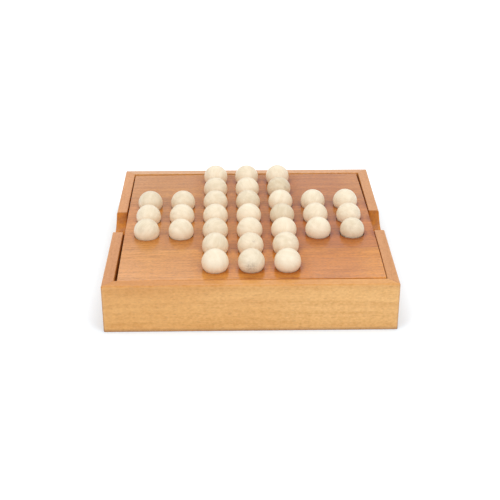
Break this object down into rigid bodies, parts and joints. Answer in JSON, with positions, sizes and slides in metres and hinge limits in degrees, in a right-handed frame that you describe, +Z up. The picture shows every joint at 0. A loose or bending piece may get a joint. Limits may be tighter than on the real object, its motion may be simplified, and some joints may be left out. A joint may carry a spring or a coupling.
{
  "type": "ball solitaire board",
  "caption": "Square wooden box whose loose lid is a ball solitaire board: wooden balls sit in a cross of dimples, finger notches free the lid, and the balls store beneath.",
  "frame": {"origin": "middle of the box's footprint, on the surface that it stands on", "axes": "+Z up, +Y to the back wall, +X to the right; the finger notches are at -X and +X"},
  "size_m": [0.155, 0.155, 0.0386],
  "materials": {
    "wall_wood": "light reddish-orange hardwood, thin satin varnish",
    "board_wood": "reddish-brown hardwood of glued staves, thin satin varnish",
    "ball_wood": "pale bare wood, turned and tumbled smooth",
    "base_plywood": "thin plywood, bare",
    "ledge_wood": "bare hardwood batten"
  },
  "bodies": {
    "box": {"front_wall": "wall_wood", "right_wall": "wall_wood", "back_wall": "wall_wood", "left_wall": "wall_wood", "base_panel": "base_plywood", "front_ledge": "ledge_wood", "right_ledge": "ledge_wood", "back_ledge": "ledge_wood", "left_ledge": "ledge_wood"},
    "board": {"playing_board": "board_wood"},
    "ball_c1": {"ball_c1": "ball_wood"},
    "ball_d1": {"ball_d1": "ball_wood"},
    "ball_e1": {"ball_e1": "ball_wood"},
    "ball_c2": {"ball_c2": "ball_wood"},
    "ball_d2": {"ball_d2": "ball_wood"},
    "ball_e2": {"ball_e2": "ball_wood"},
    "ball_a3": {"ball_a3": "ball_wood"},
    "ball_b3": {"ball_b3": "ball_wood"},
    "ball_c3": {"ball_c3": "ball_wood"},
    "ball_d3": {"ball_d3": "ball_wood"},
    "ball_e3": {"ball_e3": "ball_wood"},
    "ball_f3": {"ball_f3": "ball_wood"},
    "ball_g3": {"ball_g3": "ball_wood"},
    "ball_a4": {"ball_a4": "ball_wood"},
    "ball_b4": {"ball_b4": "ball_wood"},
    "ball_c4": {"ball_c4": "ball_wood"},
    "ball_d4": {"ball_d4": "ball_wood"},
    "ball_e4": {"ball_e4": "ball_wood"},
    "ball_f4": {"ball_f4": "ball_wood"},
    "ball_g4": {"ball_g4": "ball_wood"},
    "ball_a5": {"ball_a5": "ball_wood"},
    "ball_b5": {"ball_b5": "ball_wood"},
    "ball_c5": {"ball_c5": "ball_wood"},
    "ball_d5": {"ball_d5": "ball_wood"},
    "ball_e5": {"ball_e5": "ball_wood"},
    "ball_f5": {"ball_f5": "ball_wood"},
    "ball_g5": {"ball_g5": "ball_wood"},
    "ball_c6": {"ball_c6": "ball_wood"},
    "ball_d6": {"ball_d6": "ball_wood"},
    "ball_e6": {"ball_e6": "ball_wood"},
    "ball_c7": {"ball_c7": "ball_wood"},
    "ball_d7": {"ball_d7": "ball_wood"},
    "ball_e7": {"ball_e7": "ball_wood"}
  },
  "joints": [
    {"name": "board_lift", "type": "slide", "parent": "box", "child": "board", "axis": [0, 0, 1], "range_m": [0, 0.06]},
    {"name": "ball_c1_lift", "type": "slide", "parent": "board", "child": "ball_c1", "axis": [0, 0, 1], "range_m": [0, 0.02]},
    {"name": "ball_d1_lift", "type": "slide", "parent": "board", "child": "ball_d1", "axis": [0, 0, 1], "range_m": [0, 0.02]},
    {"name": "ball_e1_lift", "type": "slide", "parent": "board", "child": "ball_e1", "axis": [0, 0, 1], "range_m": [0, 0.02]},
    {"name": "ball_c2_lift", "type": "slide", "parent": "board", "child": "ball_c2", "axis": [0, 0, 1], "range_m": [0, 0.02]},
    {"name": "ball_d2_lift", "type": "slide", "parent": "board", "child": "ball_d2", "axis": [0, 0, 1], "range_m": [0, 0.02]},
    {"name": "ball_e2_lift", "type": "slide", "parent": "board", "child": "ball_e2", "axis": [0, 0, 1], "range_m": [0, 0.02]},
    {"name": "ball_a3_lift", "type": "slide", "parent": "board", "child": "ball_a3", "axis": [0, 0, 1], "range_m": [0, 0.02]},
    {"name": "ball_b3_lift", "type": "slide", "parent": "board", "child": "ball_b3", "axis": [0, 0, 1], "range_m": [0, 0.02]},
    {"name": "ball_c3_lift", "type": "slide", "parent": "board", "child": "ball_c3", "axis": [0, 0, 1], "range_m": [0, 0.02]},
    {"name": "ball_d3_lift", "type": "slide", "parent": "board", "child": "ball_d3", "axis": [0, 0, 1], "range_m": [0, 0.02]},
    {"name": "ball_e3_lift", "type": "slide", "parent": "board", "child": "ball_e3", "axis": [0, 0, 1], "range_m": [0, 0.02]},
    {"name": "ball_f3_lift", "type": "slide", "parent": "board", "child": "ball_f3", "axis": [0, 0, 1], "range_m": [0, 0.02]},
    {"name": "ball_g3_lift", "type": "slide", "parent": "board", "child": "ball_g3", "axis": [0, 0, 1], "range_m": [0, 0.02]},
    {"name": "ball_a4_lift", "type": "slide", "parent": "board", "child": "ball_a4", "axis": [0, 0, 1], "range_m": [0, 0.02]},
    {"name": "ball_b4_lift", "type": "slide", "parent": "board", "child": "ball_b4", "axis": [0, 0, 1], "range_m": [0, 0.02]},
    {"name": "ball_c4_lift", "type": "slide", "parent": "board", "child": "ball_c4", "axis": [0, 0, 1], "range_m": [0, 0.02]},
    {"name": "ball_d4_lift", "type": "slide", "parent": "board", "child": "ball_d4", "axis": [0, 0, 1], "range_m": [0, 0.02]},
    {"name": "ball_e4_lift", "type": "slide", "parent": "board", "child": "ball_e4", "axis": [0, 0, 1], "range_m": [0, 0.02]},
    {"name": "ball_f4_lift", "type": "slide", "parent": "board", "child": "ball_f4", "axis": [0, 0, 1], "range_m": [0, 0.02]},
    {"name": "ball_g4_lift", "type": "slide", "parent": "board", "child": "ball_g4", "axis": [0, 0, 1], "range_m": [0, 0.02]},
    {"name": "ball_a5_lift", "type": "slide", "parent": "board", "child": "ball_a5", "axis": [0, 0, 1], "range_m": [0, 0.02]},
    {"name": "ball_b5_lift", "type": "slide", "parent": "board", "child": "ball_b5", "axis": [0, 0, 1], "range_m": [0, 0.02]},
    {"name": "ball_c5_lift", "type": "slide", "parent": "board", "child": "ball_c5", "axis": [0, 0, 1], "range_m": [0, 0.02]},
    {"name": "ball_d5_lift", "type": "slide", "parent": "board", "child": "ball_d5", "axis": [0, 0, 1], "range_m": [0, 0.02]},
    {"name": "ball_e5_lift", "type": "slide", "parent": "board", "child": "ball_e5", "axis": [0, 0, 1], "range_m": [0, 0.02]},
    {"name": "ball_f5_lift", "type": "slide", "parent": "board", "child": "ball_f5", "axis": [0, 0, 1], "range_m": [0, 0.02]},
    {"name": "ball_g5_lift", "type": "slide", "parent": "board", "child": "ball_g5", "axis": [0, 0, 1], "range_m": [0, 0.02]},
    {"name": "ball_c6_lift", "type": "slide", "parent": "board", "child": "ball_c6", "axis": [0, 0, 1], "range_m": [0, 0.02]},
    {"name": "ball_d6_lift", "type": "slide", "parent": "board", "child": "ball_d6", "axis": [0, 0, 1], "range_m": [0, 0.02]},
    {"name": "ball_e6_lift", "type": "slide", "parent": "board", "child": "ball_e6", "axis": [0, 0, 1], "range_m": [0, 0.02]},
    {"name": "ball_c7_lift", "type": "slide", "parent": "board", "child": "ball_c7", "axis": [0, 0, 1], "range_m": [0, 0.02]},
    {"name": "ball_d7_lift", "type": "slide", "parent": "board", "child": "ball_d7", "axis": [0, 0, 1], "range_m": [0, 0.02]},
    {"name": "ball_e7_lift", "type": "slide", "parent": "board", "child": "ball_e7", "axis": [0, 0, 1], "range_m": [0, 0.02]}
  ]
}
